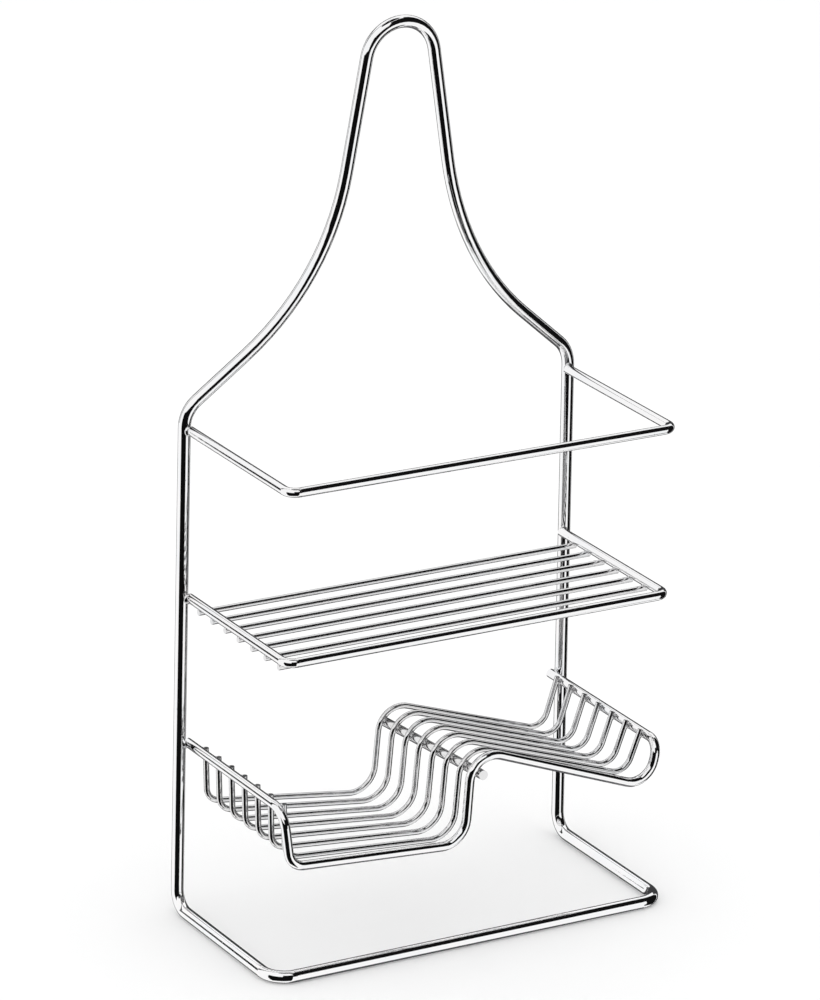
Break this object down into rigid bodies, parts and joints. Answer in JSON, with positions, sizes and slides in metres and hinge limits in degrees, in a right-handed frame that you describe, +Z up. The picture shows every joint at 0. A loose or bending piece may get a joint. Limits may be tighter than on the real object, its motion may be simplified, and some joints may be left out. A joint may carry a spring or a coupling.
{
  "type": "shower caddy",
  "caption": "Welded chrome wire caddy that hangs over a shower arm, with a rail, a flat shelf, a stepped basket and a foot bar.",
  "frame": {"origin": "the centre of the hanging ring's bend, where the shower arm passes through", "axes": "+X across the caddy to the right, -Y out from the wall, +Z up"},
  "size_m": [0.2314, 0.112, 0.462],
  "materials": {
    "frame_chrome": "bright chrome plate on bent steel rod",
    "rim_chrome": "bright chrome plate on bent steel rod",
    "wire_chrome": "bright chrome plate on steel wire, a little duller than the rods"
  },
  "bodies": {
    "root": {"frame_rod": "frame_chrome", "top_rail": "rim_chrome", "shelf_frame": "rim_chrome", "shelf_wire_1": "wire_chrome", "shelf_wire_2": "wire_chrome", "shelf_wire_3": "wire_chrome", "shelf_wire_4": "wire_chrome", "shelf_wire_5": "wire_chrome", "shelf_wire_6": "wire_chrome", "shelf_wire_7": "wire_chrome", "basket_rim": "rim_chrome", "basket_wire_1": "wire_chrome", "basket_wire_2": "wire_chrome", "basket_wire_3": "wire_chrome", "basket_wire_4": "wire_chrome", "basket_wire_5": "wire_chrome", "basket_wire_6": "wire_chrome", "basket_wire_7": "wire_chrome", "ridge_bar": "wire_chrome"}
  },
  "joints": []
}
